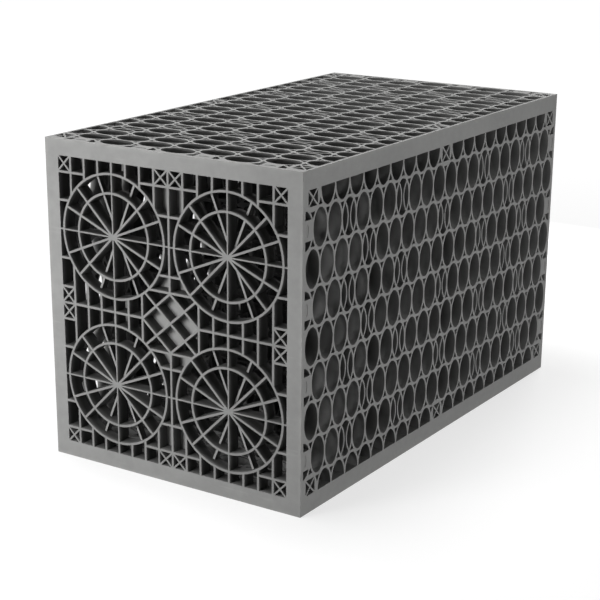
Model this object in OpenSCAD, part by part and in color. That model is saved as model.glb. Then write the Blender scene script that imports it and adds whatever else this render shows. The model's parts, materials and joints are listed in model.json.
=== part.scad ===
// Soakaway crate: deep-ribbed plates clipped into a box that holds storm water under the ground.
// The pipe end faces -Y, the length runs along Y, and the crate stands on z = 0.

/* [Crate] */
// Outside width across X
crate_w = 400; // [396:1:430]
// Outside length along Y
crate_l = 715; // [690:1:760]
// Outside height
crate_h = 440; // [432:1:480]

/* [Plates] */
// Thickness of the top and bottom decks
deck_t = 19.5; // [16:0.5:22]
// Thickness of the two side plates
side_t = 19; // [16:0.5:20]
// Thickness of the pipe end plate and the rear end plate
end_t = 20; // [18:0.5:22]
// Thickness of each inner plate
inner_t = 20; // [12:0.5:24]

/* [Cells of the decks and sides] */
// Wall between neighbouring cells
cell_wall = 3; // [2.4:0.1:3.6]
// Rim beyond the cells at the short ends
end_rim = 5.75; // [5:0.25:7]
// Rim beyond the cells along the edges of a side plate
side_rim = 4.5; // [3:0.25:6]
// Rim beyond the cells along the edges of a deck
deck_rim = 4; // [3:0.25:6]
// Size of a braced square box
box_cell = 21; // [18:0.5:22]
// Thickness of the cross in a braced box
box_cross = 2.4; // [1.8:0.1:3]
// Wall between a corner void and the tip of the cell beyond it
void_wall = 3.2; // [2.4:0.1:4]
// Distance from the fork of two cell walls to the tip of the corner void between them
void_tip = 1.05; // [0.5:0.05:2]
// How far the far corners of a corner void stay from the cell walls
void_inset = 0.8; // [0.4:0.1:1.5]
// Radius of the two bowed webs that grip a tab
grip_r = 30; // [26:1:36]
// Thickness of a gripping web
grip_web = 2.4; // [1.8:0.1:3]

/* [Cells of the small plates] */
// Rim round a small plate
small_rim = 4.6; // [3.5:0.1:6]
// Rows of tall cells in the height, the outermost ones cut by the rim
small_rows = 4.54; // [4.4:0.01:4.7]
// Radius of the long bowed bars
bow_r = 1231; // [1000:1:1600]
// Space between a pair of bowed bars at mid width, centre to centre
bow_gap = 6.7; // [5:0.1:10]
// Thickness of a bowed bar
bow_t = 2.8; // [2:0.1:3.6]

/* [Pipe ports] */
// Bore of the outer port ring, which takes the larger pipe
port_d = 162; // [158:0.5:163]
// Bore of the inner port ring, which takes the smaller pipe
port_inner_d = 111.5; // [90:0.5:118]
// Thickness of rings, spokes and bars
rib = 3; // [2.4:0.1:3.4]
// Thickness of the level and upright spokes
thin_rib = 1.9; // [1.4:0.1:2.4]
// How far the four steep spokes lie behind the face
spoke_set_back = 10; // [6:0.5:13]
// Radius of the hub where the spokes meet
hub_r = 4; // [3:0.5:6]
// Rim round the pipe end plate
port_rim = 2.2; // [2:0.1:3]
// How far each port lies outside the middle of its quarter, across X
port_out_x = 1.1; // [0.5:0.05:1.5]
// How far each port lies outside the middle of its quarter, along Z
port_out_z = 1.55; // [0.8:0.05:2.2]
// Half height of the middle diamond
diamond_h = 39.3; // [34:0.1:42]
// Height above a port's middle of the short ties beside it
tie_h = 38.8; // [34:0.1:44]
// Height of the bar above the diamond
over_bar = 40.5; // [40.5:0.1:44]
// Thickness of the web that closes the back of the diamond and of the spine above and below it
spine_web = 3; // [2:0.1:5]

/* [Clips] */
// Thickness of an inner plate's tab
tab_t = 3; // [2.4:0.1:3.6]
// Height of an inner plate's tab
tab_h = 12; // [8:0.5:16]
// Thickness of an end plate's oval tab
oval_t = 6; // [4:0.5:7]
// Height of an end plate's oval tab
oval_h = 16; // [10:0.5:20]
// Wall between an oval tab and the voids above and below it
oval_wall = 5; // [4:0.5:7]
// Space round each tab and peg
clear = 0.1; // [0.05:0.05:0.3]
// How far the tabs stop short of the outer face
tab_short = 0.5; // [0.25:0.25:3]
// How far the side plates' pegs reach into the decks
peg_h = 12; // [6:0.5:14]

/* [Hidden] */
$fn = 96;
// Overlap of a tab, a peg or a bar with what carries it, and of a cut with what it cuts
eps = 0.5;
// Cells of a deck or a side plate to each side of the middle, along and across
half_cols = 10;
half_rows = 4;
// Tall cells across a small plate, and its rows that the rim cuts
small_cols = 8;
cut_row = 2;
// Inner plates stand at these cell pitches from the middle, held by the even rows
inner_at = [-6, 0, 6];
inner_rows = [-2, 0, 2];
// Spare sockets of the odd rows, for crates with more inner plates
spare_at = [-7.5, -3.5, 3.5, 7.5];
// End plates are held by the odd rows
end_rows = [-3, -1, 1, 3];
// Side plate pegs at these pitches
peg_at = [-7, -3, 3, 7];
side_h = crate_h - 2 * deck_t;
inner_w = crate_w - 2 * side_t;
pitch = (crate_l - 2 * end_rim) / (2 * half_cols + 1);
side_row = (side_h - 2 * side_rim) / (2 * half_rows);
deck_row = (crate_w - 2 * deck_rim) / (2 * half_rows);
cell_a = (pitch - cell_wall) / 2;
grip_c = grip_r + grip_web + tab_t / 2 + clear;
mid_z = crate_h / 2;
grey = [0.46, 0.46, 0.45];
inner_grey = [0.38, 0.38, 0.37];
// Spokes of a port by sixteenths of a turn: at the face, thin ones at the face, and steep ones behind it
face_spokes = [1, 2, 6, 7, 9, 10, 14, 15];
thin_spokes = [0, 4, 8, 12];
steep_spokes = [3, 5, 11, 13];
sixteenth = 360 / 16;
// Grid step of the upright bar beside a corner box of the pipe end plate
corner_step = 7;

// Is a place in the list?
function among(k, places) = len([for (p = places) if (p == k) p]) > 0;

// One elliptical cell, in two halves so that its curve is split at the tips
module cell(a, b) {
  for (i = [0, 1]) mirror([i, 0])
    intersection() {
      scale([a, b]) rotate(90) circle(r = 1);
      translate([0, -b - eps]) square([a + eps, 2 * (b + eps)]);
    }
}

// Half of a cell, standing on the rim
module half_cell(a, b) {
  for (i = [0, 1]) mirror([i, 0])
    intersection() {
      scale([a, b]) rotate(90) circle(r = 1);
      square([a + eps, b + eps]);
    }
}

// A cell that holds two webs bowed toward each other, with a tab's slot at the waist
module grip_cell(a, b) {
  for (s = [-1, 1])
    intersection() {
      cell(a, b);
      translate([s * grip_c, 0]) circle(r = grip_r);
    }
  difference() {
    cell(a, b);
    for (s = [-1, 1]) translate([s * grip_c, 0]) circle(r = grip_r + grip_web);
  }
}

// The small three-cornered void between two cells of a row and the cell beyond them
module corner_void(p, a, b) {
  ao = a + cell_wall;
  bo = b + cell_wall;
  top = b - void_wall;
  tip = bo * sqrt(1 - pow(p / 2 / ao, 2)) + void_tip;
  wide = p / 2 - ao * sqrt(1 - pow(top / bo, 2)) - void_inset;
  polygon([[0, tip], [wide, top], [-wide, top]]);
}

// A box with a diagonal cross, as the four openings that the cross leaves
module braced_box(size) {
  turn = atan2(size[1], size[0]);
  apex = [box_cross / 2 / sin(turn), box_cross / 2 / cos(turn)];
  side = size / 2;
  tip = side - apex;
  for (i = [0, 1]) rotate(180 * i) {
    polygon([[apex[0], 0], [side[0], tip[1]], [side[0], -tip[1]]]);
    polygon([[0, apex[1]], [tip[0], side[1]], [-tip[0], side[1]]]);
  }
}

// Socket at the end of an odd row: the oval for an end plate's tab and the two voids beside it
module end_socket(b) {
  to_tab = end_t / 2 - end_rim;
  translate([-to_tab, 0]) cell(oval_t / 2 + clear, oval_h / 2 + clear);
  for (s = [0, 1]) mirror([0, s])
    intersection() {
      scale([cell_a, b]) rotate(90) circle(r = 1);
      translate([-cell_a - eps, oval_h / 2 + oval_wall]) square([cell_a + eps, b]);
    }
}

// All openings of a deck or a side plate, with the length along the first axis
module long_openings(row) {
  b = row / 2;
  for (r = inner_rows, k = [-half_cols:half_cols])
    translate([k * pitch, r * row])
      if (among(k, inner_at)) grip_cell(cell_a, b); else cell(cell_a, b);
  for (r = end_rows, k = [0.5 - half_cols:half_cols - 0.5])
    translate([k * pitch, r * row])
      if (among(k, spare_at)) grip_cell(cell_a, b); else cell(cell_a, b);
  for (s = [0, 1]) mirror([0, s]) translate([0, -half_rows * row])
    for (k = [-half_cols:half_cols]) translate([k * pitch, 0])
      if (k == 0 || abs(k) == half_cols) translate([0, box_cell / 2]) braced_box([box_cell, box_cell]);
      else half_cell(cell_a, b);
  for (r = inner_rows, k = [0.5 - half_cols:half_cols - 0.5], s = [0, 1])
    translate([k * pitch, r * row]) mirror([0, s]) corner_void(pitch, cell_a, b);
  for (r = end_rows, k = [-half_cols:half_cols], s = [0, 1])
    translate([k * pitch, r * row]) mirror([0, s]) corner_void(pitch, cell_a, b);
  for (s = [0, 1], k = [0.5 - half_cols:half_cols - 0.5])
    mirror([0, s]) translate([k * pitch, -half_rows * row]) corner_void(pitch, cell_a, b);
  for (r = end_rows, s = [0, 1])
    mirror([s, 0]) translate([(half_cols + 0.5) * pitch, r * row]) end_socket(b);
}

// A deck lies across the whole crate, with its cells across the width
module deck() {
  rotate(90) linear_extrude(height = deck_t)
    difference() {
      square([crate_l, crate_w], center = true);
      long_openings(deck_row);
    }
}

// A peg that stands in the half cells along a deck's edge
module peg() {
  reach = side_t - deck_rim;
  intersection() {
    half_cell(cell_a - clear, deck_row / 2 - clear);
    translate([-pitch, clear]) square([2 * pitch, reach - 2 * clear]);
  }
}

// A side plate stands between the decks, with its cells upright and its outer face at +X
module side_plate() {
  translate([crate_w / 2 - side_t, 0, mid_z]) rotate([90, 0, 90]) linear_extrude(height = side_t)
    difference() {
      square([crate_l, side_h], center = true);
      long_openings(side_row);
    }
  for (s = [0, 1], k = peg_at)
    translate([crate_w / 2 - deck_rim, k * pitch, mid_z]) mirror([0, 0, s])
      translate([0, 0, side_h / 2 - eps]) rotate(90) linear_extrude(height = peg_h + eps) peg();
}

// Openings of a rear or inner plate: tall cells crossed by pairs of long bowed bars
module small_openings() {
  ow = inner_w - 2 * small_rim;
  oh = side_h - 2 * small_rim;
  p = ow / small_cols;
  row = oh / small_rows;
  half = small_cols / 2;
  a = (p - cell_wall) / 2;
  b = row / 2;
  difference() {
    intersection() {
      square([ow, oh], center = true);
      union() {
        for (r = [-cut_row, 0, cut_row], k = [-half:half]) translate([k * p, r * row]) cell(a, b);
        for (r = [-1, 1], k = [0.5 - half:half - 0.5]) translate([k * p, r * row]) cell(a, b);
      }
    }
    for (r = [-cut_row:cut_row], s = [-1, 1]) translate([0, r * row + s * (bow_r + bow_gap / 2)])
      difference() {
        circle(r = bow_r + bow_t / 2);
        circle(r = bow_r - bow_t / 2);
      }
  }
  for (k = [0.5 - half:half - 0.5], s = [0, 1]) mirror([0, s]) {
    translate([k * p, 0]) corner_void(p, a, b);
    translate([k * p, -cut_row * row]) corner_void(p, a, b);
  }
  for (k = [1 - half:half - 1], r = [-1, 1], s = [0, 1])
    translate([k * p, r * row]) mirror([0, s]) corner_void(p, a, b);
}

// The flat lattice that the rear and inner plates share, centred on its own thickness
module small_plate(t) {
  rotate([90, 0, 0]) linear_extrude(height = t, center = true)
    difference() {
      square([inner_w, side_h], center = true);
      small_openings();
    }
}

// Tabs of an inner plate, one row of them on each edge
module inner_tabs() {
  into_side = side_t - tab_short + eps;
  into_deck = deck_t - tab_short + eps;
  for (r = inner_rows, s = [-1, 1]) {
    translate([s * ((inner_w + into_side) / 2 - eps), 0, r * side_row])
      cube([into_side, tab_t, tab_h], center = true);
    translate([r * deck_row, 0, s * ((side_h + into_deck) / 2 - eps)])
      cube([tab_h, tab_t, into_deck], center = true);
  }
}

// Oval tabs of an end plate, which stand in the end sockets
module end_tabs() {
  for (r = end_rows, s = [0, 1]) {
    mirror([s, 0, 0]) translate([inner_w / 2 - eps, 0, r * side_row]) rotate([90, 0, 90])
      linear_extrude(height = side_t - tab_short + eps) cell(oval_t / 2, oval_h / 2);
    mirror([0, 0, s]) translate([r * deck_row, 0, side_h / 2 - eps]) rotate(90)
      linear_extrude(height = deck_t - tab_short + eps) cell(oval_t / 2, oval_h / 2);
  }
}

module inner_plate(i) {
  color(inner_grey) translate([0, inner_at[i] * pitch, mid_z]) {
    small_plate(inner_t);
    inner_tabs();
  }
}

module rear_end_plate() {
  color(grey) translate([0, (crate_l - end_t) / 2, mid_z]) {
    small_plate(end_t);
    end_tabs();
  }
}

// Pipe end plate
half_w = inner_w / 2 - port_rim;
half_h = side_h / 2 - port_rim;
port = [half_w / 2 + port_out_x, half_h / 2 + port_out_z];
// The upright bars stand on a grid, four steps from the middle to a port's middle
grid = port[0] / 4;
ring_mid = (port_d + rib) / 2;
half_rib = [rib, rib] / 2;
diamond_w = 2 * grid;
// Level of the bar below the boxes along the top
box_z = half_h - box_cell;

// A straight bar between two points
module bar(from, to, t = rib) {
  d = to - from;
  translate(from) rotate(atan2(d[1], d[0])) translate([0, -t / 2]) square([norm(d), t]);
}

module ring(d) {
  difference() {
    circle(d = d + 2 * rib);
    circle(d = d);
  }
}

// A panel that fills the space between bars and is pierced as a braced box
module braced_panel(from, to) {
  translate((from + to) / 2)
    difference() {
      square(to - from + [rib, rib], center = true);
      braced_box(to - from);
    }
}

// Bars of one quarter of the plate that lie outside the port
module quarter_bars() {
  box_x = corner_step * grid;
  past = port[1] / diamond_h;
  difference() {
    union() {
      for (i = [2:corner_step]) bar([i * grid, -eps], [i * grid, half_h + eps]);
      bar([grid, port[1]], [grid, half_h + eps]);
      bar([-eps, box_z], [2 * grid, box_z]);
      bar([box_x - grid, box_z], [half_w + eps, box_z]);
      for (s = [-1, 1]) bar([-eps, port[1] + s * tie_h], [half_w + eps, port[1] + s * tie_h]);
      bar([-eps, over_bar], [2 * grid, over_bar]);
      bar([-eps, port[1]], [half_w + eps, port[1]], thin_rib);
      bar([box_x, box_cell + rib / 2], [half_w + eps, box_cell + rib / 2]);
      bar([diamond_w, 0], [0, diamond_h]);
      bar([0, 0], past * [diamond_w, diamond_h]);
      braced_panel([box_x, box_z] + half_rib, [half_w, half_h]);
      braced_panel([0, box_z] + half_rib, [grid - rib / 2, half_h]);
      braced_panel([box_x, 0] + half_rib, [half_w, box_cell]);
    }
    translate(port) circle(r = ring_mid);
  }
}

module spokes(places, t) {
  for (i = places) rotate(sixteenth * i) translate([0, -t / 2]) square([ring_mid, t]);
}

// Rings, hub and the spokes that reach the face
module port_wheel() {
  ring(port_d);
  ring(port_inner_d);
  circle(r = hub_r);
  spokes(face_spokes, rib);
  spokes(thin_spokes, thin_rib);
}

module port_face() {
  difference() {
    square([inner_w, side_h], center = true);
    square([2 * half_w, 2 * half_h], center = true);
  }
  for (i = [0, 1], j = [0, 1]) mirror([i, 0]) mirror([0, j]) {
    quarter_bars();
    translate(port) port_wheel();
  }
  for (s = [-1, 1]) {
    bar([0, s * diamond_h], [0, s * (half_h + eps)]);
    bar([s * diamond_w, 0], [s * (half_w + eps), 0]);
  }
}

// Outline of the web behind the diamond and the spine, between the four ports
module spine() {
  difference() {
    union() {
      polygon([[diamond_w, 0], [0, diamond_h], [-diamond_w, 0], [0, -diamond_h]]);
      for (s = [0, 1]) mirror([0, s]) {
        translate([-diamond_w, over_bar]) square([2 * diamond_w, port[1] - over_bar]);
        translate([-grid, port[1] - eps]) square([2 * grid, box_z - port[1] + eps]);
      }
    }
    for (i = [0, 1], j = [0, 1]) mirror([i, 0]) mirror([0, j]) translate(port) circle(r = ring_mid);
  }
}

module pipe_end_plate() {
  color(grey) translate([0, (end_t - crate_l) / 2, mid_z]) {
    rotate([90, 0, 0]) linear_extrude(height = end_t, center = true) port_face();
    translate([0, end_t / 2, 0]) rotate([90, 0, 0]) linear_extrude(height = end_t - spoke_set_back)
      for (i = [0, 1], j = [0, 1]) mirror([i, 0]) mirror([0, j]) translate(port)
        spokes(steep_spokes, rib);
    translate([0, end_t / 2, 0]) rotate([90, 0, 0]) linear_extrude(height = spine_web) spine();
    end_tabs();
  }
}

module bottom_deck() { color(grey) deck(); }
module top_deck() { color(grey) translate([0, 0, crate_h]) mirror([0, 0, 1]) deck(); }
module side_plate_right() { color(grey) side_plate(); }
module side_plate_left() { color(grey) mirror([1, 0, 0]) side_plate(); }

bottom_deck();
top_deck();
side_plate_left();
side_plate_right();
pipe_end_plate();
rear_end_plate();
inner_plate(0);  // inner_plate_1
inner_plate(1);  // inner_plate_2
inner_plate(2);  // inner_plate_3
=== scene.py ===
"""Looks, light and camera for the soakaway crate."""
import json

import bmesh
import bpy
from mathutils import Matrix, Quaternion, Vector


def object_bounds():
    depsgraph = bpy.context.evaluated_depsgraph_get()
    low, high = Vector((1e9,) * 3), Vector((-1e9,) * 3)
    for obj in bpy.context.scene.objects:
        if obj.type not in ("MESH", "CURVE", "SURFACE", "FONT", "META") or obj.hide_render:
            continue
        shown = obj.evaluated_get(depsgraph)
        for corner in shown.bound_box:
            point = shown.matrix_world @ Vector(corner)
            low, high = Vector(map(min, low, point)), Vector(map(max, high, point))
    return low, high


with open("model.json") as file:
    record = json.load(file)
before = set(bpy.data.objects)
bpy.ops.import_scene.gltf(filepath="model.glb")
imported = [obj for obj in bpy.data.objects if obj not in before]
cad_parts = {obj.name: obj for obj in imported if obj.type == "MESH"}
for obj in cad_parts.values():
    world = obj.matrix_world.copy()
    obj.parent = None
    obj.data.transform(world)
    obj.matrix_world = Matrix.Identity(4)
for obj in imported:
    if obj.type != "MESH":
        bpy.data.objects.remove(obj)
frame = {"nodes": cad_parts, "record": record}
CAD_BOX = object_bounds()

# Camera of the photograph, seen from this crate: place in metres, turn from world to camera as an axis
# times an angle in radians, and lens in mm
CAMERA_AT = Vector((1.17763, -1.87968, 0.81193))
CAMERA_TURN = Vector((1.829939, 0.557932, -0.397163))
PHOTO_LENS = 53.884
SENSOR_WIDTH = 36.0
# The part of the photograph that the render shows: its middle in pixels, and how much it is enlarged
PHOTO_PIXELS = 600.0
CROP = 1.75
CROP_MIDDLE = (314.0, 265.0)

# Each plate: linear grey of its flat faces and the darker grey of painted shade on the walls in the depth
# of its cells, the depth in metres where that is reached, the share of tone that the bars of its lattice
# lack, and the way the plate faces
PLATES = {
    "deck_plastic": (0.335, 0.215, 0.009, 0.0, (0.0, 0.0, 1.0)),
    "side_plastic": (0.330, 0.085, 0.016, 0.0, (1.0, 0.0, 0.0)),
    "end_plastic": (0.345, 0.110, 0.009, 0.15, (0.0, 1.0, 0.0)),
    # The inner plates are painted nearly black, as painted shade for the dark inside of the crate
    "inner_plastic": (0.050, 0.028, 0.009, 0.0, (0.0, 1.0, 0.0)),
}
# Share of red, green and blue in every grey
TINT = (1.0, 1.0, 0.985)
# Colour of settled dust, and of rubbed edges and scratches
DUST_TONE = (0.440, 0.435, 0.420)
WORN_TONE = (0.460, 0.460, 0.450)
# How strongly the cloudy tone, the dust and the wear show
MOTTLE = 0.05
DUST = 0.12
WEAR = 0.45
# Gloss of the plastic, on the shader's scale from 0 to 1
GLOSS = 0.06

# Depths below the outer faces, in metres: where the painted shade of the inside begins and is full, and how
# deep scratches, rubbing and the tone of the bars go
INSIDE_SHADE_DEPTH = (0.0175, 0.0190)
SKIN_DEPTH = 0.0010
# Painted shade of the inside: its tone as a share of the tone in the cells
INSIDE_SHADE_SHARE = 0.25
# How the painted shade darkens the walls of a cell with depth: under 1, most of it comes close to the face
SHADE_FADE_POWER = 0.6
# Distances from the outer edges, in metres: the end of the rubbed strip, and of the rim beside the bars
WORN_REACH = 0.005
RIM_REACH = (0.019, 0.025)

# Noise patterns: waves per metre, number of finer layers, and strength of each finer layer
CLOUDS = (9.0, 4.0, 0.55)
FLOW_MARKS = (3.0, 3.0, 0.55)
BLOTCHES = (85.0, 2.0, 0.55)
RUBBING = (40.0, 3.0, 0.55)
SCRATCHES = (1.0, 2.0, 0.55)
SCRATCH_PATCHES = (14.0, 3.0, 0.55)
GRAIN = (1500.0, 2.0, 0.6)
# Stretch along each axis of the flow marks and the scratches, and the turn of the scratches in radians
FLOW_STRETCH = (9.0, 1.6, 9.0)
SCRATCH_STRETCH = (7.0, 210.0, 210.0)
SCRATCH_TURN = (0.5, 0.3, 0.8)
NO_TURN = (0.0, 0.0, 0.0)
# Values of each noise between which its effect sets in
CLOUD_RANGE = (0.36, 0.64)
BLOTCH_RANGE = (0.30, 0.70)
RUBBING_RANGE = (0.35, 0.65)
SCRATCH_RANGE = (0.60, 0.68)
PATCH_RANGE = (0.48, 0.62)
# How far a surface faces with its plate, or up, between a wall and a flat face, and between clean and dusty
FLAT_RANGE = (0.80, 0.95)
DUSTY_RANGE = (0.50, 0.95)

# What the blotches do to the tone, to the dust and to the roughness
BLOTCH_TONE = (0.96, 1.04)
BLOTCH_DUST = (0.2, 1.0)
BLOTCH_ROUGHNESS = (0.50, 0.60)
# Strength of a scratch against rubbing, and roughness that dust and wear add
SCRATCH_SHARE = 0.7
DUST_ROUGHNESS = 0.35
WORN_ROUGHNESS = 0.08
# Relief: shares of grain, blotches and wear, strength, and height in metres
GRAIN_RELIEF = 0.5
BLOTCH_RELIEF = 0.5
WORN_RELIEF = -0.4
RELIEF_STRENGTH = 0.25
RELIEF_HEIGHT = 0.0004

# Ranges that masks are spread over: rising, falling, and swinging about nothing
RISE = (0.0, 1.0)
FALL = (1.0, 0.0)
SWING = (-1.0, 1.0)
WHITE = (1.0, 1.0, 1.0, 1.0)
# Places of a Mix node's colour sockets, which share their names with its other sockets
MIX_A = 6
MIX_B = 7
MIX_RESULT = 2


def new_group(name, inputs, outputs):
    """An empty shader node group with its sockets and its two end nodes."""
    tree = bpy.data.node_groups.new(name, "ShaderNodeTree")
    for label, kind in inputs:
        tree.interface.new_socket(label, in_out="INPUT", socket_type=kind)
    for label, kind in outputs:
        tree.interface.new_socket(label, in_out="OUTPUT", socket_type=kind)
    return tree, tree.nodes.new("NodeGroupInput"), tree.nodes.new("NodeGroupOutput")


def noise(tree, vector, pattern):
    node = tree.nodes.new("ShaderNodeTexNoise")
    for label, value in zip(("Scale", "Detail", "Roughness"), pattern):
        node.inputs[label].default_value = value
    tree.links.new(vector, node.inputs["Vector"])
    return node.outputs["Fac"]


def stretched(tree, vector, scale, turn=NO_TURN):
    """The place on the crate, stretched and turned, for a pattern that runs one way."""
    node = tree.nodes.new("ShaderNodeMapping")
    node.inputs["Rotation"].default_value = turn
    node.inputs["Scale"].default_value = scale
    tree.links.new(vector, node.inputs["Vector"])
    return node.outputs["Vector"]


def spread(tree, value, source, target):
    """Maps a value from one range to another, and clamps it there."""
    node = tree.nodes.new("ShaderNodeMapRange")
    for label, bound in zip(("From Min", "From Max", "To Min", "To Max"), (*source, *target)):
        node.inputs[label].default_value = bound
    tree.links.new(value, node.inputs["Value"])
    return node.outputs["Result"]


def combine(tree, operation, *values):
    """Runs one maths operation along a row of sockets and numbers."""
    total = values[0]
    for value in values[1:]:
        node = tree.nodes.new("ShaderNodeMath")
        node.operation = operation
        for socket, part in zip(node.inputs, (total, value)):
            if isinstance(part, (int, float)):
                socket.default_value = part
            else:
                tree.links.new(part, socket)
        total = node.outputs[0]
    return total


def absolute(tree, value):
    node = tree.nodes.new("ShaderNodeMath")
    node.operation = "ABSOLUTE"
    tree.links.new(value, node.inputs[0])
    return node.outputs[0]


def mix_color(tree, factor, a, b):
    node = tree.nodes.new("ShaderNodeMix")
    node.data_type = "RGBA"
    tree.links.new(factor, node.inputs["Factor"])
    for place, value in ((MIX_A, a), (MIX_B, b)):
        if isinstance(value, tuple):
            node.inputs[place].default_value = (*value, 1.0)
        else:
            tree.links.new(value, node.inputs[place])
    return node.outputs[MIX_RESULT]


def scale_color(tree, color, factor):
    node = tree.nodes.new("ShaderNodeVectorMath")
    node.operation = "SCALE"
    tree.links.new(color, node.inputs[0])
    tree.links.new(factor, node.inputs["Scale"])
    return node.outputs[0]


def face_distances(tree, spot):
    """Distances of a place on the crate from the nearest outer face and from the second nearest."""
    low, high = CAD_BOX
    split = tree.nodes.new("ShaderNodeSeparateXYZ")
    tree.links.new(spot, split.inputs["Vector"])
    gaps = []
    for place, start, end in zip(split.outputs, low, high):
        off_middle = absolute(tree, combine(tree, "SUBTRACT", place, (start + end) / 2))
        gaps.append(combine(tree, "SUBTRACT", (end - start) / 2, off_middle))
    nearer = combine(tree, "MINIMUM", gaps[0], gaps[1])
    farther = combine(tree, "MAXIMUM", gaps[0], gaps[1])
    first = combine(tree, "MINIMUM", nearer, gaps[2])
    second = combine(tree, "MAXIMUM", nearer, combine(tree, "MINIMUM", farther, gaps[2]))
    return first, second


def cloudy_swing(tree, spot, blotch, mottle):
    """How much the clouds, the flow marks and the blotches of the moulding lift or lower the tone."""
    clouds = noise(tree, spot, CLOUDS)
    flow = noise(tree, stretched(tree, spot, FLOW_STRETCH), FLOW_MARKS)
    swing = combine(tree, "MULTIPLY", combine(tree, "ADD", clouds, flow), 0.5)
    swing = combine(tree, "MULTIPLY", spread(tree, swing, CLOUD_RANGE, SWING), mottle)
    blotched = spread(tree, blotch, BLOTCH_RANGE, BLOTCH_TONE)
    return combine(tree, "MULTIPLY", combine(tree, "ADD", 1.0, swing), blotched)


def painted_cell_shade(tree, depth, fade_depth, normal, facing):
    """Painted shade of a cell: 0 on flat faces and at the top of a cell's walls, rising to 1 in its depth.
    """
    below = spread(tree, combine(tree, "DIVIDE", depth, fade_depth), RISE, RISE)
    flat = tree.nodes.new("ShaderNodeVectorMath")
    flat.operation = "DOT_PRODUCT"
    tree.links.new(normal, flat.inputs[0])
    tree.links.new(facing, flat.inputs[1])
    wall = spread(tree, absolute(tree, flat.outputs["Value"]), FLAT_RANGE, FALL)
    return combine(tree, "MULTIPLY", combine(tree, "POWER", below, SHADE_FADE_POWER), wall)


def wear_mask(tree, spot, edge, skin):
    """Rubbed outer edges, and scratches in patches, on the outer faces."""
    strip = spread(tree, edge, (0.0, WORN_REACH), FALL)
    rubbed = combine(tree, "MULTIPLY", strip, spread(tree, noise(tree, spot, RUBBING), RUBBING_RANGE, RISE))
    lines = noise(tree, stretched(tree, spot, SCRATCH_STRETCH, SCRATCH_TURN), SCRATCHES)
    lines = spread(tree, lines, SCRATCH_RANGE, (0.0, SCRATCH_SHARE))
    patches = spread(tree, noise(tree, spot, SCRATCH_PATCHES), PATCH_RANGE, RISE)
    scratched = combine(tree, "MULTIPLY", lines, patches)
    return combine(tree, "MULTIPLY", combine(tree, "MAXIMUM", rubbed, scratched), skin)


def dust_mask(tree, normal, blotch, dust):
    """Dust in blotches on faces that look up."""
    split = tree.nodes.new("ShaderNodeSeparateXYZ")
    tree.links.new(normal, split.inputs["Vector"])
    up = spread(tree, split.outputs["Z"], DUSTY_RANGE, RISE)
    return combine(tree, "MULTIPLY", up, dust, spread(tree, blotch, BLOTCH_RANGE, BLOTCH_DUST))


def moulded_group():
    """Cloudy grey with painted shade that darkens it into the cells, with rubbed edges, scratches, dust and
    a fine grain.
    """
    tree, start, end = new_group(
        "moulded_plastic",
        [
            ("Face Tone", "NodeSocketColor"),
            ("Painted Shade Tone", "NodeSocketColor"),
            ("Fade Depth", "NodeSocketFloat"),
            ("Lattice Loss", "NodeSocketFloat"),
            ("Facing", "NodeSocketVector"),
            ("Mottle", "NodeSocketFloat"),
            ("Dust", "NodeSocketFloat"),
            ("Wear", "NodeSocketFloat"),
        ],
        [("Color", "NodeSocketColor"), ("Roughness", "NodeSocketFloat"), ("Height", "NodeSocketFloat")],
    )
    given = start.outputs
    coords = tree.nodes.new("ShaderNodeTexCoord")
    spot = coords.outputs["Object"]
    normal = coords.outputs["Normal"]
    depth, edge = face_distances(tree, spot)
    skin = spread(tree, depth, (0.0, SKIN_DEPTH), FALL)
    blotch = noise(tree, spot, BLOTCHES)

    # Tone: lighter on flat faces, darker in the cells and inside the crate by painted shade, and a little
    # darker on the bars
    cell_shade = painted_cell_shade(tree, depth, given["Fade Depth"], normal, given["Facing"])
    tone = mix_color(tree, cell_shade, given["Face Tone"], given["Painted Shade Tone"])
    lift = cloudy_swing(tree, spot, blotch, given["Mottle"])
    # Painted shade: the inside of the crate, beyond the depth of the cells, darkened to a share of their
    # tone
    inside_shade = spread(tree, depth, INSIDE_SHADE_DEPTH, (1.0, INSIDE_SHADE_SHARE))
    bars = combine(tree, "MULTIPLY", spread(tree, edge, RIM_REACH, RISE), skin)
    kept = combine(tree, "SUBTRACT", 1.0, combine(tree, "MULTIPLY", bars, given["Lattice Loss"]))
    tone = scale_color(tree, tone, combine(tree, "MULTIPLY", lift, inside_shade, kept))

    # Wear and dust over the tone
    worn = wear_mask(tree, spot, edge, skin)
    dust = dust_mask(tree, normal, blotch, given["Dust"])
    tone = mix_color(tree, combine(tree, "MULTIPLY", worn, given["Wear"]), tone, WORN_TONE)
    tone = mix_color(tree, dust, tone, DUST_TONE)

    rough = combine(
        tree, "ADD",
        spread(tree, blotch, BLOTCH_RANGE, BLOTCH_ROUGHNESS),
        combine(tree, "MULTIPLY", dust, DUST_ROUGHNESS),
        combine(tree, "MULTIPLY", worn, WORN_ROUGHNESS),
    )
    height = combine(
        tree, "ADD",
        combine(tree, "MULTIPLY", noise(tree, spot, GRAIN), GRAIN_RELIEF),
        combine(tree, "MULTIPLY", blotch, BLOTCH_RELIEF),
        combine(tree, "MULTIPLY", worn, WORN_RELIEF),
    )
    tree.links.new(tone, end.inputs["Color"])
    tree.links.new(rough, end.inputs["Roughness"])
    tree.links.new(height, end.inputs["Height"])
    return tree


MOULDED = moulded_group()


def grey(level):
    return (*[level * share for share in TINT], 1.0)


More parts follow.
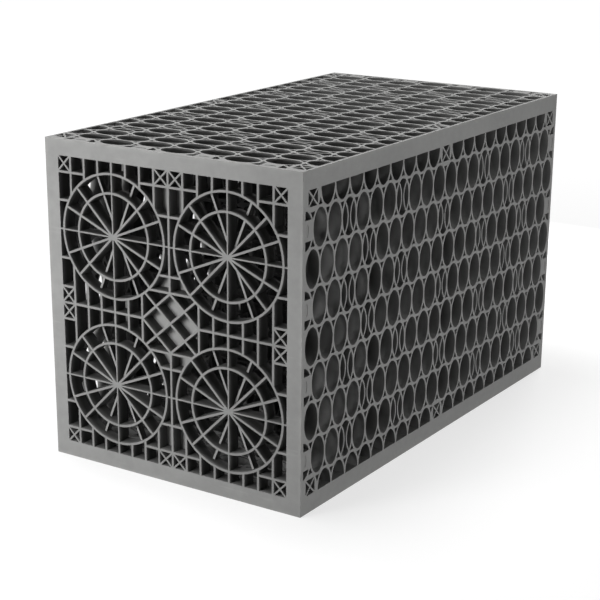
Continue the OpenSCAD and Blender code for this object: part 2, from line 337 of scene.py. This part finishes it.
def plastic(slot):
    """The grey plastic of one kind of plate."""
    face, walls, fade_depth, lattice_loss, facing = PLATES[slot]
    values = {
        "Face Tone": grey(face),
        # Grey of the painted shade on the walls in the depth of the cells
        "Painted Shade Tone": grey(walls),
        "Fade Depth": fade_depth,
        "Lattice Loss": lattice_loss,
        "Facing": facing,
        "Mottle": MOTTLE,
        "Dust": DUST,
        "Wear": WEAR,
    }
    material = bpy.data.materials.new(slot + "_look")
    material.use_nodes = True
    tree = material.node_tree
    shader = tree.nodes["Principled BSDF"]
    shader.inputs["Specular IOR Level"].default_value = GLOSS
    look = tree.nodes.new("ShaderNodeGroup")
    look.node_tree = MOULDED
    for label, value in values.items():
        look.inputs[label].default_value = value
    bump = tree.nodes.new("ShaderNodeBump")
    bump.inputs["Strength"].default_value = RELIEF_STRENGTH
    bump.inputs["Distance"].default_value = RELIEF_HEIGHT
    tree.links.new(look.outputs["Color"], shader.inputs["Base Color"])
    tree.links.new(look.outputs["Roughness"], shader.inputs["Roughness"])
    tree.links.new(look.outputs["Height"], bump.inputs["Height"])
    tree.links.new(bump.outputs["Normal"], shader.inputs["Normal"])
    return material


MATERIALS = {slot: plastic(slot) for slot in PLATES}
for plate in frame["record"]["subparts"]:
    slots = frame["nodes"][plate["node"]].data.materials
    slots.clear()
    slots.append(MATERIALS[plate["material_slot"]])

# Lamps: place, what each is aimed at, width and height, watts
LAMPS = {
    "key": ((-0.34, -1.25, 0.36), (-0.1, -0.36, 0.23), (0.4, 0.4), 8.8),
    "fill": ((2.5, -0.30, 0.24), (0.2, 0.0, 0.2), (0.8, 0.8), 29.5),
    "overhead": ((-0.3, -0.2, 2.4), (0.0, 0.0, 0.44), (1.0, 1.0), 42.0),
    "back": ((0.0, 1.25, 0.36), (0.0, 0.36, 0.23), (0.4, 0.4), 8.8),
    "left": ((-2.5, 0.30, 0.24), (-0.2, 0.0, 0.2), (0.8, 0.8), 29.5),
}


def area_lamp(name, at, aim, size, watts):
    data = bpy.data.lights.new(name, "AREA")
    data.shape = "RECTANGLE"
    data.size, data.size_y = size
    data.energy = watts
    lamp = bpy.data.objects.new(name, data)
    lamp.location = at
    lamp.rotation_euler = (Vector(aim) - Vector(at)).to_track_quat("-Z", "Y").to_euler()
    bpy.context.collection.objects.link(lamp)


for name, values in LAMPS.items():
    area_lamp(name, *values)

# Light of the surroundings on the crate, as a share of the white that is seen
AMBIENT = 0.015
# Floor: half its width in metres, its grey for light that it throws back and to the eye, and its roughness
FLOOR_HALF = 40.0
FLOOR_BOUNCE = (0.20, 0.20, 0.20)
FLOOR_GREY = (0.35, 0.35, 0.35)
FLOOR_ROUGHNESS = 0.9
# Glow of the floor near the crate and far away, and the distances in metres between which it rises
FLOOR_GLOW = (0.70, 1.00)
GLOW_REACH = (0.8, 2.5)


def seen_rays(tree):
    """1 for what the eye sees, straight, mirrored or through glass, and 0 for light on the crate."""
    path = tree.nodes.new("ShaderNodeLightPath")
    kinds = ("Is Camera Ray", "Is Glossy Ray", "Is Transmission Ray")
    return combine(tree, "MAXIMUM", *[path.outputs[kind] for kind in kinds])


def studio_world():
    """White to the eye, and a weak even light on the crate."""
    world = bpy.data.worlds.new("studio")
    bpy.context.scene.world = world
    world.use_nodes = True
    tree = world.node_tree
    shade = tree.nodes["Background"]
    shade.inputs["Color"].default_value = WHITE
    shade.inputs["Strength"].default_value = AMBIENT
    white = tree.nodes.new("ShaderNodeBackground")
    white.inputs["Color"].default_value = WHITE
    mix = tree.nodes.new("ShaderNodeMixShader")
    tree.links.new(seen_rays(tree), mix.inputs["Fac"])
    tree.links.new(shade.outputs[0], mix.inputs[1])
    tree.links.new(white.outputs[0], mix.inputs[2])
    tree.links.new(mix.outputs[0], tree.nodes["World Output"].inputs["Surface"])


def floor_white():
    """Paint of the floor: a plain grey for light on the crate, and nearly white to the eye."""
    material = bpy.data.materials.new("floor_white")
    material.use_nodes = True
    tree = material.node_tree
    shader = tree.nodes["Principled BSDF"]
    shader.inputs["Roughness"].default_value = FLOOR_ROUGHNESS
    shader.inputs["Specular IOR Level"].default_value = 0.0
    shader.inputs["Emission Color"].default_value = WHITE
    seen = seen_rays(tree)
    coords = tree.nodes.new("ShaderNodeTexCoord")
    away = tree.nodes.new("ShaderNodeVectorMath")
    away.operation = "LENGTH"
    tree.links.new(coords.outputs["Object"], away.inputs[0])
    glow = spread(tree, away.outputs["Value"], GLOW_REACH, FLOOR_GLOW)
    tree.links.new(mix_color(tree, seen, FLOOR_BOUNCE, FLOOR_GREY), shader.inputs["Base Color"])
    tree.links.new(combine(tree, "MULTIPLY", seen, glow), shader.inputs["Emission Strength"])
    return material


def pale_floor():
    """A wide white floor that keeps the crate's shadow."""
    mesh = bpy.data.meshes.new("floor")
    sheet = bmesh.new()
    bmesh.ops.create_grid(sheet, x_segments=1, y_segments=1, size=FLOOR_HALF)
    sheet.to_mesh(mesh)
    sheet.free()
    mesh.materials.append(floor_white())
    floor = bpy.data.objects.new("floor", mesh)
    bpy.context.collection.objects.link(floor)


studio_world()
pale_floor()


def photo_camera():
    """The photograph's camera, framed on this crate."""
    data = bpy.data.cameras.new("camera")
    data.sensor_width = SENSOR_WIDTH
    data.lens = PHOTO_LENS * CROP
    data.shift_x = (CROP_MIDDLE[0] / PHOTO_PIXELS - 0.5) * CROP
    data.shift_y = (0.5 - CROP_MIDDLE[1] / PHOTO_PIXELS) * CROP
    camera = bpy.data.objects.new("camera", data)
    turn = Quaternion(CAMERA_TURN.normalized(), CAMERA_TURN.length).to_matrix()
    # The turn is for a camera that looks along +Z with Y down, and Blender's looks along -Z with Y up
    look_along = Matrix.Diagonal((1.0, -1.0, -1.0))
    camera.matrix_world = Matrix.Translation(CAMERA_AT) @ (turn.transposed() @ look_along).to_4x4()
    bpy.context.collection.objects.link(camera)
    bpy.context.scene.camera = camera


photo_camera()
bpy.context.scene.view_settings.view_transform = "Standard"
